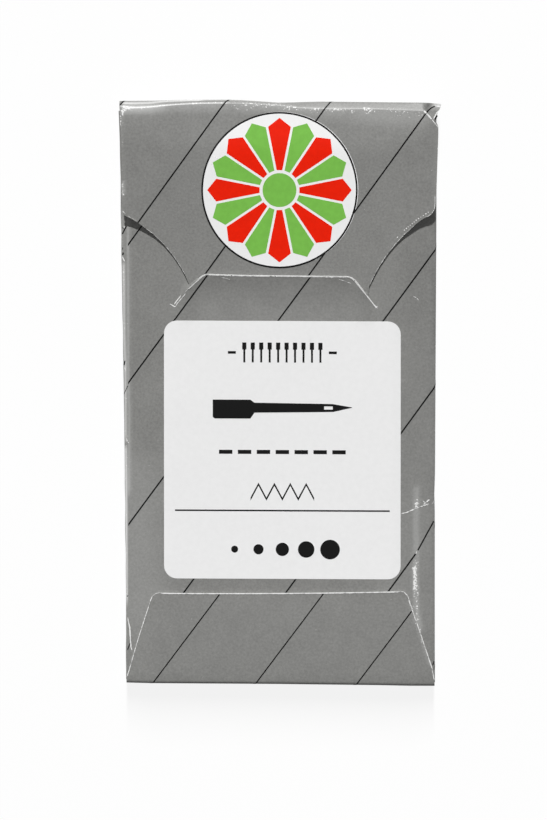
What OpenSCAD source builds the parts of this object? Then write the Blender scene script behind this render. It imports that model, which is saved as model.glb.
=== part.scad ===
// A closed paper packet of sewing machine needles, lying on its back.
// X runs across the packet, Y from the glued end to the tucked end, Z up
// through the front. The origin is under the middle of the packet.

/* [Packet] */
// Width over the tucked end, where the packet spreads most
tuck_width = 32.1; // [28:0.1:40]
// Width over the glued end
glued_width = 31; // [28:0.1:40]
// Length from the glued fold to the tuck fold
packet_length = 58.5; // [54:0.5:80]
// Thickness over the needles, without the flaps
thickness = 4.3; // [3:0.1:8]
// Thickness of the coated paper
paper = 0.2; // [0.1:0.02:0.3]
// Radius of the sharp folds
fold_radius = 0.35; // [0.2:0.05:0.6]
// Radius of the soft bends where the front leaves the needles
bend_radius = 8; // [3:1:14]
// Width of the flat field over the needles
field_width = 24; // [20:0.5:26]
// How far the front falls from the field to the side folds
side_fall = 1; // [0.2:0.1:1.6]
// How far the front is racked to the right over the back
rack = 0.4; // [0:0.1:0.8]
// Length of the slope at the tucked end
tuck_slope = 4; // [2:0.5:6]
// How far the front falls along that slope
tuck_fall = 0.4; // [0.1:0.1:0.8]
// How far the wall at the tuck fold leans back
tuck_lean = 0.5; // [0:0.1:1]
// Length of the slope at the glued end
glued_slope = 7; // [4:0.5:10]
// How far the front falls along that slope
glued_fall = 0.4; // [0.1:0.1:1.6]

/* [Tuck flap] */
// Distance from the tuck fold to the flap's outer corners
shoulder = 11.1; // [8:0.1:13]
// Width of the tongue where it goes under the slit
tongue_width = 18.2; // [16:0.1:20]
// Radius of the scoop on each side of the tongue
scoop_radius = 14.5; // [11:0.5:20]
// How far the flap falls from the field to its free sides
flap_fall = 0.25; // [0.05:0.05:0.6]
// Distance from the tuck fold to the slit
slit_depth = 17.4; // [16.5:0.1:19]
// Length of the straight part of the slit
slit_width = 14.7; // [12:0.1:16]
// Width over the feet of the slit
slit_span = 20.3; // [19:0.1:22]
// How far the feet of the slit reach down
slit_drop = 3.1; // [2:0.1:4]
// Radius where the slit turns down
slit_radius = 1.2; // [0.4:0.1:2]
// Width of the cut
slit_gap = 0.1; // [0.05:0.05:0.2]
// How far the panel stands up over the tongue at the slit
tab_rise = 0.4; // [0.25:0.05:0.8]
// Length over which it settles again
tab_length = 4.2; // [3.5:0.1:4.4]

/* [Glued flap] */
// Height of the flap above the glued fold
glue_height = 9.1; // [6:0.1:10]
// Width of the flap at its top edge
glue_width = 25.6; // [20:0.1:28]
// Radius of its top corners
glue_radius = 0.9; // [0.3:0.1:2]

/* [Crushed corner] */
// How far the crease starts from the corner, across the packet
crush_across = 1.5; // [0.5:0.1:3]
// How far the crease starts from the corner, along the packet
crush_along = 2.4; // [0.5:0.1:4]
// Slope of the crushed facet in degrees
crush_angle = 24; // [10:1:45]

/* [Print] */
// Thickness given to each layer of print
ink = 0.03; // [0.02:0.01:0.05]
// Distance kept from the folds
print_inset = 0.5; // [0.4:0.1:1]
// Width of the white field
label_width = 23.8; // [18:0.1:24]
// Height of the white field
label_height = 25.9; // [20:0.1:27]
// Corner radius of the white field
label_radius = 1.3; // [0.4:0.1:3]
// Distance from the tuck fold to the top of the white field
label_depth = 21.9; // [21.9:0.1:24]
// How far the white field is printed off the middle
label_drift = 0.24; // [-0.5:0.01:0.5]
// Width of the pinstripes
stripe_width = 0.13; // [0.1:0.01:0.3]
// Distance between pinstripes, measured across the packet
stripe_pitch = 10.4; // [6:0.1:15]
// Angle of the pinstripes from the crosswise direction
stripe_angle = 53.6; // [40:0.1:70]

/* [Badge] */
// Diameter of the badge over its line
badge_diameter = 15.6; // [12:0.1:16]
// Distance from the tuck fold to the middle of the badge
badge_depth = 8.8; // [8.4:0.1:9.4]
// Width of the line round the badge
badge_line = 0.15; // [0.1:0.01:0.3]
// Petals of each colour
petals = 8; // [5:1:10]
// Gap between neighbouring petals
petal_gap = 0.24; // [0.1:0.02:0.4]
// Distance from the rim of the badge to the tips of the petals
petal_margin = 0.6; // [0.3:0.1:1.2]
// Length of the pointed end of a petal
petal_point = 0.9; // [0.4:0.1:2]
// Radius of the round hub
hub_radius = 1.7; // [1:0.1:2.4]
// Gap between the hub and the petals
hub_gap = 0.3; // [0.1:0.05:0.6]

/* [Needle mark] */
// Length of the needle on the white field
mark_length = 14; // [10:0.5:18]
// Length of its shank
shank_length = 4.2; // [2:0.1:5]
// Height of its shank
shank_height = 1.9; // [1.2:0.1:2.4]
// How far the shank hangs below the middle of the blade
shank_drop = 0.15; // [0:0.05:0.3]
// Length of the slope between the shank and the blade
shank_bevel = 0.4; // [0.2:0.05:0.6]
// Height of its blade next to the shank
blade_height = 1; // [0.6:0.1:1.1]
// Height of its blade at the eye
blade_end_height = 0.8; // [0.5:0.1:1]
// Length of its point
point_length = 2; // [1:0.1:3]
// Length of its eye
eye_length = 0.9; // [0.5:0.1:1.4]
// Height of its eye
eye_height = 0.3; // [0.2:0.05:0.4]

/* [Rows of marks] */
// Strokes in the row that counts the needles
count = 10; // [5:1:12]
// Distance between those strokes
stroke_pitch = 0.85; // [0.6:0.05:1.1]
// Width of a stroke
stroke_width = 0.2; // [0.1:0.05:0.3]
// Height of a stroke
stroke_height = 2; // [1.4:0.1:2.4]
// Width of a stroke's head
head_width = 0.42; // [0.35:0.01:0.5]
// Height of a stroke's head
head_height = 0.7; // [0.4:0.1:1]
// Length of the dashes beside the strokes
dash_length = 0.8; // [0.4:0.1:1.2]
// Height of those dashes
dash_height = 0.26; // [0.1:0.02:0.4]
// Distance between the stitches of the seam
stitch_pitch = 1.9; // [1.6:0.1:2.4]
// Length of a stitch
stitch_length = 1.35; // [0.8:0.05:1.5]
// Height of a stitch
stitch_height = 0.4; // [0.2:0.1:0.8]
// Width of a zigzag's slanted line, across the field
zigzag_pitch = 0.8; // [0.5:0.1:1.2]
// Height of the zigzag over its middle
zigzag_rise = 0.75; // [0.4:0.05:1]
// Height of the zigzag's line
zigzag_line = 0.32; // [0.1:0.02:0.4]
// Length of the rule across the white field
rule_length = 21.6; // [16:0.1:22]
// Height of the rule
rule_line = 0.15; // [0.1:0.01:0.3]
// Distance between the dots
dot_pitch = 2.4; // [2.2:0.1:4]
// Radius of the smallest dot
dot_radius = 0.35; // [0.2:0.05:0.4]
// How much larger each next dot is
dot_growth = 0.16; // [0.05:0.01:0.2]

/* [Hidden] */

far = tuck_width + glued_width + packet_length;
half_length = packet_length / 2;
mid_width = (tuck_width + glued_width) / 2;
taper = atan((tuck_width - glued_width) / 2 / packet_length);
margin = (mid_width - field_width) / 2;
flap_top = thickness + paper;
slit_y = half_length - slit_depth;

// Where the pinstripes of each printed face cross the middle of the packet
panel_phase = 4.87;
flap_phase = 4.43;
glued_phase = 8.72;

// Heights of the rows over the middle of the white field
count_row = 9.8;
needle_row = 4.25;
seam_row = -0.2;
zigzag_row = -4.2;
rule_row = -6.1;
dot_row = -10;

// The folds and bends are drawn as short straight steps
fold_step = 18;
bend_step = 4;

function unit(v) = v / norm(v);
function turn(u, v) = atan2(u.x * v.y - u.y * v.x, u * v);
function spun(v, a) = [v.x * cos(a) - v.y * sin(a), v.x * sin(a) + v.y * cos(a)];

// Points of the arc that rounds corner b, on the way from a to c
function rounded(a, b, c, r) =
    let (u = unit(a - b), v = unit(c - b))
    let (open = abs(turn(u, v)), back = r / tan(open / 2))
    let (centre = b + unit(u + v) * r / sin(open / 2))
    let (first = b + u * back - centre, sweep = turn(first, b + v * back - centre))
    let (steps = ceil(abs(sweep) / (r > 2 ? bend_step : fold_step)))
    [for (i = [0:steps]) centre + spun(first, sweep * i / steps)];

// Outline through corners given as [x, y] or [x, y, radius]
function outline(corners) =
    let (n = len(corners), at = [for (p = corners) [p.x, p.y]])
    [for (i = [0:n - 1])
        for (q = len(corners[i]) < 3
            ? [at[i]]
            : rounded(at[(i + n - 1) % n], at[i], at[(i + 1) % n], corners[i][2])) q];

// Half width of the packet at a place along it
function half_width(y) = mid_width / 2 + y * tan(taper);

// Centre of a circle of radius r that passes q and then p, bulging to the right of the way
function arc_centre(p, q, r) =
    let (d = p - q, side = [-d.y, d.x] / norm(d))
    (p + q) / 2 + side * sqrt(r * r - d * d / 4);

shoulder_point = [half_width(half_length - shoulder), half_length - shoulder];
slit_slope = 2 * slit_drop / (slit_span - slit_width);
tongue_point = [tongue_width / 2, slit_y - slit_slope * (tongue_width - slit_width) / 2];
scoop_centre = arc_centre(tongue_point, shoulder_point, scoop_radius);

module along_y(size) {
    rotate([90, 0, 0])
        linear_extrude(height = size, center = true) children();
}

module along_x(size) {
    rotate([90, 0, 90])
        linear_extrude(height = size, center = true) children();
}

// One side of the sleeve: the back is cut off at back_x, the front at front_x
module side(back_x, front_x) {
    rotate([0, 0, -taper])
        along_y(far) polygon(outline([
            [-far, 0],
            [back_x, 0, fold_radius],
            [front_x, thickness - side_fall, fold_radius],
            [field_width / 2, thickness, bend_radius],
            [-far, thickness]
        ]));
}

// The side view of the packet, raised by rise and ending at the tuck fold end_y
module elevation(rise, end_y) {
    top = thickness + rise;
    along_x(far) polygon(outline([
        [-half_length, 0, fold_radius],
        [end_y, 0, fold_radius],
        [end_y - tuck_lean, top - tuck_fall, fold_radius],
        [end_y - tuck_lean - tuck_slope, top, bend_radius],
        [glued_slope - half_length, top, bend_radius],
        [-half_length, top - glued_fall, fold_radius]
    ]));
}

module sides() {
    intersection() {
        side(mid_width / 2 - rack, mid_width / 2);
        mirror([1, 0, 0]) side(mid_width / 2, mid_width / 2 - rack);
    }
}

module sleeve() {
    intersection() {
        sides();
        elevation(0, half_length - paper);
    }
}

module plan() {
    polygon([
        [-half_width(-half_length), -half_length],
        [half_width(-half_length), -half_length],
        [half_width(half_length), half_length],
        [-half_width(half_length), half_length]
    ]);
}

// The part of the front panel below the slit, which the tongue lifts
module tab_plan() {
    foot_y = slit_y - slit_drop;
    polygon(outline([
        [-slit_width / 2, slit_y, slit_radius],
        [-slit_span / 2, foot_y],
        [-slit_span / 2, slit_y - tab_length],
        [slit_span / 2, slit_y - tab_length],
        [slit_span / 2, foot_y],
        [slit_width / 2, slit_y, slit_radius]
    ]));
}

// What is cut away beside the tongue
module scoops() {
    for (s = [0, 1]) mirror([s, 0]) intersection() {
        translate(scoop_centre) circle(r = scoop_radius, $fn = 96);
        translate(tongue_point) square([far, shoulder_point.y - tongue_point.y]);
    }
}

module flap_plan() {
    difference() {
        plan();
        translate([-far, -far]) square([2 * far, far + tongue_point.y]);
        scoops();
        tab_plan();
        translate([0, slit_gap]) tab_plan();
    }
}

module glued_plan() {
    foot = half_width(-half_length);
    polygon(outline([
        [-foot, -half_length],
        [foot, -half_length],
        [glue_width / 2, glue_height - half_length, glue_radius],
        [-glue_width / 2, glue_height - half_length, glue_radius]
    ]));
}

// The space under the tuck flap, which bends less than the front panel
module flap_room(rise, end_y) {
    low = flap_fall * (far - field_width / 2) / margin;
    intersection() {
        along_y(far) polygon(outline([
            [-far, thickness + rise - low],
            [-far, -far],
            [far, -far],
            [far, thickness + rise - low],
            [field_width / 2, thickness + rise, bend_radius],
            [-field_width / 2, thickness + rise, bend_radius]
        ]));
        elevation(rise, end_y);
    }
}

module tuck_flap() {
    intersection() {
        difference() {
            flap_room(paper, half_length);
            flap_room(0, half_length - paper);
        }
        linear_extrude(height = 2 * flap_top) flap_plan();
        union() {
            sides();
            translate([0, 0, thickness - side_fall]) linear_extrude(height = flap_top) plan();
        }
    }
}

// The panel lies over the tongue like a low roof
module tab() {
    full = slit_width / 2;
    foot = slit_span / 2;
    intersection() {
        linear_extrude(height = 2 * flap_top) tab_plan();
        along_x(far) polygon([
            [slit_y - tab_length, 0],
            [slit_y, 0],
            [slit_y, thickness + tab_rise],
            [slit_y - tab_length, thickness]
        ]);
        along_y(far) polygon([
            [-foot, 0],
            [foot, 0],
            [foot, thickness],
            [full, thickness + tab_rise],
            [-full, thickness + tab_rise],
            [-foot, thickness]
        ]);
    }
}

module slit() {
    translate([0, 0, thickness - paper])
        linear_extrude(height = flap_top) difference() {
            translate([0, slit_gap]) tab_plan();
            tab_plan();
            translate([-far, slit_y - slit_drop - far]) square([2 * far, far]);
        }
}

module glued_flap() {
    intersection() {
        translate([0, 0, paper]) sleeve();
        linear_extrude(height = 2 * flap_top) glued_plan();
    }
}

// Everything outside and above a plane that leans over the corner
module crushed_corner() {
    corner = [half_width(half_length), half_length];
    crease = [crush_across, -crush_along];
    across = atan2(crease.y, crease.x);
    translate([corner.x - crush_across, corner.y - tuck_lean, flap_top - tuck_fall])
        rotate([0, 0, across])
            rotate([-crush_angle, 0, 0])
                translate([-far / 2, 0, 0]) cube([far, far / 2, far / 2]);
}

module packet_form() {
    difference() {
        union() {
            sleeve();
            tuck_flap();
            tab();
            glued_flap();
        }
        slit();
        crushed_corner();
    }
}

// A layer of print over the sheet given first, inside the outline given second
module print(level) {
    intersection() {
        difference() {
            translate([0, 0, (level + 1) * ink]) children(0);
            translate([0, 0, level * ink]) packet_form();
        }
        linear_extrude(height = 2 * flap_top) children(1);
    }
}

module label_place() {
    translate([label_drift, half_length - label_depth - label_height / 2]) children();
}

module badge_place() {
    translate([0, half_length - badge_depth]) children();
}

module label_field() {
    w = label_width / 2;
    h = label_height / 2;
    r = label_radius;
    label_place() polygon(outline([[-w, -h, r], [w, -h, r], [w, h, r], [-w, h, r]]));
}

module badge_disc(r) {
    badge_place() circle(r = r, $fn = 96);
}

// The faces of the packet that show print, kept clear of the folds
module print_area() {
    inset = print_inset + rack;
    w0 = half_width(-half_length) - inset;
    w1 = half_width(half_length) - inset;
    h0 = half_length - print_inset;
    h1 = half_length - print_inset - tuck_lean;
    polygon([[-w0, -h0], [w0, -h0], [w1, h1], [-w1, h1]]);
}

module panel_area() {
    difference() {
        print_area();
        translate([-far, shoulder_point.y]) square([2 * far, far]);
        flap_plan();
        translate([0, slit_gap]) tab_plan();
        glued_plan();
        label_field();
    }
    intersection() {
        tab_plan();
        print_area();
    }
}

module stripes(phase) {
    rows = ceil(far / stripe_pitch);
    for (k = [-rows:rows])
        translate([phase + k * stripe_pitch, 0])
            rotate(stripe_angle - 90)
                square([stripe_width, far], center = true);
}

// One petal of the round patchwork rosette, pointing along X
module petal() {
    inner = hub_radius + hub_gap;
    tip = badge_diameter / 2 - petal_margin;
    outer = tip - petal_point;
    seam = petal_gap / 2;
    half = tan(90 / petals);
    polygon([
        [inner, inner * half - seam],
        [inner, seam - inner * half],
        [outer, seam - outer * half],
        [tip, 0],
        [outer, outer * half - seam]
    ]);
}

module ring_of_petals(first) {
    badge_place()
        for (i = [0:petals - 1])
            rotate((i + first / 2) * 360 / petals) petal();
}

// A needle lying with its shank to the left
module needle_mark() {
    low = -shank_height / 2 - shank_drop;
    high = shank_height / 2 - shank_drop;
    chamfer = shank_bevel / 2;
    neck = shank_length - shank_bevel;
    blade_end = mark_length - point_length;
    translate([-mark_length / 2, 0]) difference() {
        polygon([
            [0, high],
            [0, low + chamfer],
            [chamfer, low],
            [neck, low],
            [shank_length, -blade_height / 2],
            [blade_end, -blade_end_height / 2],
            [mark_length, 0],
            [blade_end, blade_end_height / 2],
            [shank_length, blade_height / 2],
            [neck, high]
        ]);
        translate([blade_end - eye_length, 0]) square([eye_length, eye_height], center = true);
    }
}

// Upright strokes, each with a thick head, between two dashes
module count_mark() {
    for (i = [0:count - 1]) translate([(i - (count - 1) / 2) * stroke_pitch, 0]) {
        square([stroke_width, stroke_height], center = true);
        translate([0, (stroke_height - head_height) / 2])
            square([head_width, head_height], center = true);
    }
    for (s = [-1, 1])
        translate([s * ((count + 1) / 2 * stroke_pitch + dash_length / 2), 0])
            square([dash_length, dash_height], center = true);
}

module seam_mark() {
    for (i = [-3:3])
        translate([i * stitch_pitch, 0]) square([stitch_length, stitch_height], center = true);
}

module zigzag_mark() {
    bends = [for (i = [-4:4]) [i * zigzag_pitch, (i % 2 == 0 ? -1 : 1) * zigzag_rise]];
    half_line = [0, zigzag_line / 2];
    polygon(concat(
        [for (p = bends) p + half_line],
        [for (i = [len(bends) - 1:-1:0]) bends[i] - half_line]
    ));
}

module dot_mark() {
    for (i = [0:4])
        translate([(i - 2) * dot_pitch, 0]) circle(r = dot_radius + i * dot_growth, $fn = 32);
}

module label_marks() {
    label_place() {
        translate([0, count_row]) count_mark();
        translate([0, needle_row]) needle_mark();
        translate([0, seam_row]) seam_mark();
        translate([0, zigzag_row]) zigzag_mark();
        translate([0, rule_row]) square([rule_length, rule_line], center = true);
        translate([0, dot_row]) dot_mark();
    }
}

module packet() {
    color("#82827f") packet_form();
}

module white_print() {
    color("#e9e9e9") {
        print(0) {
            sleeve();
            label_field();
        }
        print(0) {
            tuck_flap();
            badge_disc(badge_diameter / 2 - badge_line);
        }
    }
}

module black_print() {
    color("#1e1e1e") {
        print(0) {
            sleeve();
            intersection() {
                stripes(panel_phase);
                panel_area();
            }
        }
        print(0) {
            tuck_flap();
            union() {
                difference() {
                    intersection() {
                        stripes(flap_phase);
                        print_area();
                    }
                    badge_disc(badge_diameter / 2);
                }
                difference() {
                    badge_disc(badge_diameter / 2);
                    badge_disc(badge_diameter / 2 - badge_line);
                }
            }
        }
        print(0) {
            glued_flap();
            intersection() {
                stripes(glued_phase);
                print_area();
            }
        }
        print(1) {
            sleeve();
            label_marks();
        }
    }
}

module red_print() {
    color("#e3280a") print(1) {
        tuck_flap();
        ring_of_petals(0);
    }
}

module green_print() {
    color("#76b64e") print(1) {
        tuck_flap();
        union() {
            ring_of_petals(1);
            badge_disc(hub_radius);
        }
    }
}

packet();
white_print();
black_print();
red_print();
green_print();
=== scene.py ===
"""Dress for a closed paper packet of sewing machine needles.

The packet is folded from one cut sheet of coated paper. Each part of the sheet starts
as a flat blank, is cut and printed flat, and is then folded up. Blanks are drawn in
millimetres, with X across the packet and Y from the glued end to the tucked end, and
become metres when they are folded.
"""

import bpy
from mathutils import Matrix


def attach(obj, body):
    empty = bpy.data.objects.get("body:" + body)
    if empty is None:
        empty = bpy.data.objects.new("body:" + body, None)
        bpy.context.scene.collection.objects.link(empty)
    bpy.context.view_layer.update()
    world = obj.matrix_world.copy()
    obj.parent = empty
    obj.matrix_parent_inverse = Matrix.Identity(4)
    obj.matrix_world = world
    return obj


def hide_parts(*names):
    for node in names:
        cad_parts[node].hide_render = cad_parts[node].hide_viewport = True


bl_info = {
    "name": "Needle Packet",
    "version": (1, 0, 0),
    "blender": (4, 5, 0),
    "location": "3D View > Sidebar > Needle Packet",
    "description": "Folds, prints and wears a paper packet of sewing machine needles",
    "category": "Object",
}

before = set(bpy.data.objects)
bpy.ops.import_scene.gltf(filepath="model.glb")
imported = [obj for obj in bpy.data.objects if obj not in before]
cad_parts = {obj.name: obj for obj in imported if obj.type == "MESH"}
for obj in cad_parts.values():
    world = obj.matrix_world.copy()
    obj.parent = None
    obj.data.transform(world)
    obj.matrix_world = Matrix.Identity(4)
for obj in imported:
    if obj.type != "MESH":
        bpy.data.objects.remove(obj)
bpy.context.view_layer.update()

import math
from bisect import bisect_right
from types import SimpleNamespace

import bmesh
import bpy
from mathutils import Vector, noise

MM = 0.001
BODY = "root"

# Feet and creases of the side walls: (along, across)
BACK_LEFT = (
    (-29.3, -15.54), (-20, -15.54), (-12, -15.62), (-3, -15.7), (4, -15.81),
    (17, -16.02), (23.5, -16.08), (26, -16.16), (29, -16.26),
)
FRONT_LEFT = ((-29.3, -15.27), (-20, -15.2), (-14, -15.25), (-3, -15.15), (16, -15.25), (29, -15.7))
FRONT_RIGHT = (
    (-29.3, 15.68), (-20, 15.66), (-12, 15.66), (-10.2, 15.6), (-8, 15.68), (16, 15.8), (22, 15.8),
    (29, 15.9),
)
BACK_RIGHT = ((-29.3, 15.55), (-26, 15.4), (16, 15.4), (29, 15.75))

# Free side edges of the tuck flap: (along, across)
FLAP_LEFT = (
    (18.02, -15.5), (18.25, -15.68), (18.6, -15.83), (20.4, -15.9), (23.5, -15.88), (26, -15.98),
    (29, -16.12),
)
FLAP_RIGHT = (
    (17.4, 14.1), (17.86, 14.88), (18.3, 15.43), (18.75, 15.6), (19.8, 15.7), (22.4, 15.78), (26, 15.9),
    (29, 15.86),
)

# Creases and feet of the end walls: (across, outwards from the middle)
TUCK_CREASE = (
    (-16.2, 28.9), (-15.4, 28.76), (-14.5, 28.72), (-13, 28.8), (-11.5, 28.98), (-10, 29.1), (-8, 29.2),
    (-4, 29.24), (0, 29.02), (2, 28.72), (5, 28.6), (9, 28.62), (14.3, 28.42), (16, 28.55),
)
TUCK_FOOT = (
    (-16.3, 29.43), (-13, 29.45), (-10.5, 29.52), (-8, 29.55), (-6, 29.56), (-4, 29.53), (0, 29.26),
    (4, 29.36), (12, 29.28), (15.1, 29.25), (15.5, 29.12), (16, 28.95),
)
GLUED_CREASE = ((-15.5, 29.18), (0, 29.28), (10, 29.4), (15.6, 29.52))
GLUED_FOOT = ((-15.5, 29.25), (0, 29.38), (10, 29.5), (15.6, 29.6))
TUCK_JOIN = 28.2
GLUED_JOIN = 28.6

# The slit that takes the tongue, from its left foot to its right foot
SLIT = (
    (-10.48, 8.78), (-9.87, 9.8), (-9.25, 10.56), (-8.69, 11.1), (-8.27, 11.46), (-7.87, 11.82),
    (-7.45, 12.02), (-4, 11.91), (6.75, 11.79), (7, 11.75), (7.25, 11.65), (7.55, 11.4), (8.05, 10.77),
    (8.7, 10), (9.75, 8.68),
)
SLIT_ROW = 11.9

# How far past the slit's feet, and how far above and below it, the blank's rows run level again
FEET_SETTLE = 4.4
ROW_SETTLE = 7

# Distance from the slit's feet over which the tongue's lift fades
TAB_FLANK = 1.6

# Scoops beside the tongue: centre across, centre along, radius, shoulder
LEFT_SCOOP = (-21.22, 6.18, 13.01, 18.04)
RIGHT_SCOOP = (24.07, 4.33, 16.43, 17.4)

# The tongue: its free end, where its corners start to round, and its neck between the scoops
TONGUE_FOOT = 7.6
TONGUE_ROUND = 8.8
TONGUE_NECK = 10.75

# Sides of the glued flap: (outwards from the middle, across)
GLUED_LEFT = (
    (20.05, -12.2), (20.12, -12.5), (20.37, -12.87), (20.75, -13.05), (25, -14.42), (27.7, -15.2),
    (28.6, -15.48),
)
GLUED_RIGHT = ((20.05, 12.2), (20.12, 12.5), (20.5, 12.9), (27.75, 15.4), (28.9, 15.6))
GLUED_TOP = 20.05

# Slopes of the front: their width at the sides, and where they stop at the two ends
SIDE_SLOPE = 3.65
TUCK_STOP = 28.75
GLUED_STOP = 29.25

# Half widths of the soft bends where those slopes start
SIDE_BEND = 1.1
TUCK_BEND = 0.8
GLUED_BEND = 0.9

# The left wall: wavering of its crease and its foot, the foot's height, and its inner layer's length
CREASE_WAVER = 0.04
FOOT_WAVER = 0.05
FOOT_LIFT = 0.03
LINING = 2.2

# Faces across the parts of the sleeve, from the left wall round to its inner layer, and three of them
SLEEVE_FACES = (5, 2, 6, 3, 104, 4, 6, 4, 60, 3, 2)
FRONT_PART = 4
RIGHT_WALL_PART = 6
BACK_PART = 8

# Faces along the parts of each end flap's blank past the front, and across every row of a flap
TUCK_FACES = (3, 3, 3, 7, 4, 1)
GLUED_FACES = (4, 6, 4, 1)
FLAP_FACES = 60

# Past END_ROWS the sleeve's rows follow the end creases, END_GAP short of them and level outside CREASE_ENDS
END_ROWS = 20
END_GAP = 0.35
CREASE_ENDS = (-15.7, 15.6)

# Worn coating and painted light: line on the blank, radius, bare specks, soft lightening (darkening where
# negative).
# The bare specks are worn coating, which along the tuck fold and the right crease also stands in for glints.
# The soft lightening is mostly painted highlight on folds, creases and sides turned to the light, and the
# darkening is painted shade on faces turned away from it.
SLEEVE_WEAR_AND_PAINTED_LIGHT = (
    # Painted highlight along the dented crease at the right, with bare specks of worn coating
    (((13.75, -9.6), (13.7, -13.6), (13.75, -16)), 0.3, 0.15, 0.35),
    (((13.7, -16.8), (13.6, -17.8), (13.65, -19), (13.75, -21.5), (14.1, -24)), 0.27, 0.5, 0.45),
    (((13.6, -17.4), (13.55, -18.4), (13.62, -19.6)), 0.2, 0.4, 0.25),
    (((13.8, -11), (13.85, -11.05)), 0.3, 0.75, 0.1),
    # Painted highlight along the left fold and its brow, which face the light
    (((-15.78, 13), (-15.74, 6), (-15.63, 2.8), (-15.6, -4.5)), 0.15, 0.22, 0.95),
    (((-15.6, -5.5), (-15.54, -12), (-15.52, -21)), 0.14, 0.25, 1.3),
    (((-15.3, 18), (-15.3, 3), (-15.2, -2), (-15.25, -10)), 0.17, 0.12, 0.42),
    (((-15.72, 16.75), (-15.72, 16.6)), 0.12, 0.8, 0.3),
    (((-15.32, 14.55), (-15.32, 14.5)), 0.1, 0.75, 0.3),
    (((-15.6, 2.6), (-15.6, 2.5)), 0.1, 0.7, 0.3),
    # Painted light on the left wall
    (((-16.2, 18), (-16.1, -28)), 0.5, 0.1, 0.3),
    (((-17.4, 18), (-17.2, -28)), 1.2, 0.1, 0.12),
    # Broad painted light on the lower left of the front
    (((-14.6, -9), (-14.2, -22)), 3, 0, 0.18),
    # Painted highlight along the right fold
    (((15.66, 16), (15.62, -28)), 0.12, 0.2, 0.1),
    # Painted shade along the right fold beside the upper panel
    (((15.7, 12.5), (15.65, 4.5)), 0.35, 0, -0.12),
    # Lighter patch beside the slit's right arm
    (((8, 11.1), (8.3, 10.9)), 0.3, 0, 0.2),
    # Broad painted light on the panel below the slit and on the right margin
    (((-7, 8.6), (7, 8.5)), 2.6, 0, 0.09),
    (((13.5, 4), (13.2, -22)), 3.5, 0, 0.06),
    (((14, -13), (13.5, -22)), 2.6, 0, 0.06),
)
TUCK_WEAR_AND_PAINTED_LIGHT = (
    # Painted glint along the tuck fold, with bare specks
    (((-15.7, 28.8), (-14.5, 28.72), (-13, 28.8), (-11.5, 28.98)), 0.14, 0.5, 1.2),
    (((-11.5, 28.98), (-10, 29.1), (-8, 29.2), (-5.3, 29.24)), 0.1, 0.5, 1),
    # Painted highlight on the narrow strip over the tuck fold, which faces the light
    (((-15.7, 29.28), (-13, 29.34), (-11.5, 29.52), (-8, 29.7)), 0.13, 0, 1.4),
    (((-8, 29.72), (-4, 29.78), (0, 29.6)), 0.15, 0, 0.6),
    (((0, 29.55), (5, 29.3), (14, 29.2)), 0.25, 0, 0.08),
    # Broad painted highlight on the flap below the tuck fold
    (((-15.5, 28.4), (-13, 28.5)), 0.6, 0, 0.2),
    (((-10, 28.7), (-6, 28.8)), 0.5, 0, 0.08),
    (((-4, 28.9), (1, 28.75)), 0.5, 0, 0.22),
    (((2, 28.3), (6, 28.1)), 0.8, 0, 0.16),
    (((8, 28), (11, 27.9), (14, 27.8)), 0.95, 0.05, 0.27),
    # Worn coating along the tuck fold: bare specks with a little painted sheen
    (((-5, 29.18), (-2, 29.08), (0, 28.96), (2, 28.66), (5, 28.5), (7.5, 28.5)), 0.31, 0.42, 0.15),
    (((8.3, 28.65), (9, 28.5)), 0.33, 0.45, 0.1),
    (((9.5, 28.4), (11.4, 28.3), (14, 28.15)), 0.5, 0.3, 0),
    # Bare specks at the flap's corners and left edge, with some painted highlight
    (((-15.55, 28.75), (-15.2, 28.6)), 0.24, 0.6, 0.2),
    (((-16.03, 28.1), (-16.03, 26.8)), 0.1, 0.5, 0.2),
    (((-16.02, 26.5), (-15.9, 18.5)), 0.1, 0.3, 0.15),
    (((-15.95, 21.1), (-15.92, 20.1)), 0.1, 0.35, 0.5),
    (((15.95, 26), (15.75, 19)), 0.15, 0.3, 0.1),
    # Broad slight darkening over the flap's left part
    (((-13, 27), (-12, 19)), 4, 0, -0.05),
    # Painted highlight on the knocked-in corner's outer facet, then painted shade on its facet turned away
    # from the light
    (((15.6, 29.1), (15.95, 29)), 0.28, 0.2, 0.9),
    (((14.8, 28.6), (14.95, 29.1)), 0.3, 0, -0.5),
)
GLUED_WEAR_AND_PAINTED_LIGHT = (
    # Bare specks and soft lightening at the worn lower right corner
    (((13, -21), (13.9, -23.5), (15.3, -27.5)), 0.2, 0.5, 0.3),
    # Painted shade along the bottom fold, which turns away from the light
    (((-15.5, -29.17), (0, -29.27), (10, -29.39), (15.6, -29.5)), 0.1, 0, -0.8),
    # Broad painted light over the glued flap
    (((-11, -25), (14, -24.5)), 5, 0, 0.09),
)

# Broken pieces of pinstripe at the folds and creases: surface, line on the blank, width
STRIPE_BITS = (
    ("sleeve", ((-15.47, 16.87), (-15.93, 16.07)), 0.14),
    ("sleeve", ((-15.9, 16.75), (-15.82, 16.6)), 0.09),
    ("sleeve", ((-15.88, 14.72), (-15.9, 14.5)), 0.08),
    ("sleeve", ((-15.8, 14.2), (-15.9, 13.95)), 0.16),
    ("sleeve", ((-15.66, 3.3), (-15.78, 2.85)), 0.13),
    ("sleeve", ((-15.34, 0.78), (-15.8, -0.05)), 0.06),
    ("sleeve", ((-15.38, -20.36), (-15.46, -20.5)), 0.1),
    ("sleeve", ((-15.09, -25.2), (-15.42, -25.86)), 0.12),
    ("sleeve", ((13.89, -15.79), (15.51, -12.87)), 0.14),
    ("sleeve", ((15.42, -27.42), (15.57, -27)), 0.12),
    ("tuck", ((14.72, 28.27), (15.5, 28.96)), 0.14),
    ("tuck", ((15.68, 27.3), (15.88, 27.95)), 0.14),
)

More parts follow.
